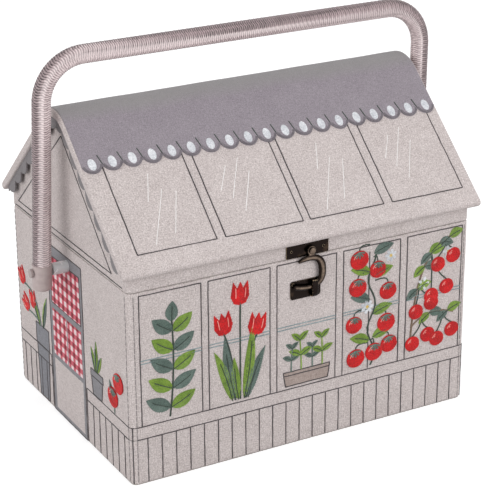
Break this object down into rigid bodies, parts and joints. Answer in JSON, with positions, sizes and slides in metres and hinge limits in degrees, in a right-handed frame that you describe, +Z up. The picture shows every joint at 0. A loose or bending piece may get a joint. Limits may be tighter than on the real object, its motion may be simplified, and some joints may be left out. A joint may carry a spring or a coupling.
{
  "type": "sewing box",
  "caption": "Cloth-covered sewing box shaped like a glasshouse, with a hinged pitched-roof lid, scalloped ridge, bail handle, swing-hook latch and lift-out tray.",
  "frame": {"origin": "middle of the underside", "axes": "+Z up, +X along the ridge to the viewer's right, front with the latch faces -Y"},
  "size_m": [0.3612, 0.23, 0.3152],
  "materials": {
    "board": "matt board",
    "linen": "woven linen-look cloth, printed and embroidered",
    "grey_cloth": "woven mauve-grey cloth",
    "lining": "plain lining cloth",
    "bronze": "dark antique bronze, rubbed edges",
    "wrap": "fine wound cord",
    "cap": "satin moulded",
    "clear_plastic": "cloudy translucent",
    "steel": "plated",
    "tray_plastic": "moulded, pale"
  },
  "bodies": {
    "box": {"base_board": "board", "front_wall": "board", "back_wall": "board", "left_wall": "board", "right_wall": "board", "body_cover": "linen", "body_lining": "lining", "left_tray_ledge": "board", "right_tray_ledge": "board", "keeper_plate": "bronze", "keeper_strap": "bronze", "keeper_pins": "bronze", "left_hinge_body_leaf": "bronze", "right_hinge_body_leaf": "bronze", "hinge_pins": "bronze", "body_leaf_screws": "bronze", "left_handle_spacer": "clear_plastic", "right_handle_spacer": "clear_plastic", "pivot_screws": "steel", "pivot_washers": "steel", "pivot_nuts": "steel"},
    "lid": {"lid_front_rail": "board", "lid_back_rail": "board", "left_gable": "board", "right_gable": "board", "front_roof_panel": "board", "back_roof_panel": "board", "ridge_strip": "board", "lid_cover": "linen", "roof_cover": "linen", "ridge_capping": "grey_cloth", "left_bargeboard": "grey_cloth", "right_bargeboard": "grey_cloth", "lid_lining": "lining", "left_hinge_lid_leaf": "bronze", "right_hinge_lid_leaf": "bronze", "lid_leaf_screws": "bronze", "latch_plate": "bronze", "latch_pins": "bronze", "latch_rivet": "bronze"},
    "hook": {"latch_hook": "bronze"},
    "handle": {"handle_core": "board", "handle_wrap": "wrap", "left_end_cap": "cap", "right_end_cap": "cap"},
    "tray": {"tray_shell": "tray_plastic", "tray_long_divider": "tray_plastic", "tray_cross_dividers": "tray_plastic"}
  },
  "joints": [
    {"name": "lid_hinge", "type": "hinge", "parent": "box", "child": "lid", "pos_m": [0, 0.1107, 0.15575], "axis": [-1, 0, 0], "range_deg": [0, 84]},
    {"name": "handle_swing", "type": "hinge", "parent": "box", "child": "handle", "pos_m": [0, 0, 0.14], "axis": [-1, 0, 0], "range_deg": [0, 134.4]},
    {"name": "latch_swing", "type": "hinge", "parent": "lid", "child": "hook", "pos_m": [0.0025, -0.1103, 0.161], "axis": [0, -1, 0], "range_deg": [0, 60]},
    {"name": "tray_lift", "type": "slide", "parent": "box", "child": "tray", "axis": [0, 0, 1], "range_m": [0, 0.03]}
  ],
  "couplings": [
    {"joint": "handle_swing", "follows": "lid_hinge", "ratio": 1.6}
  ]
}
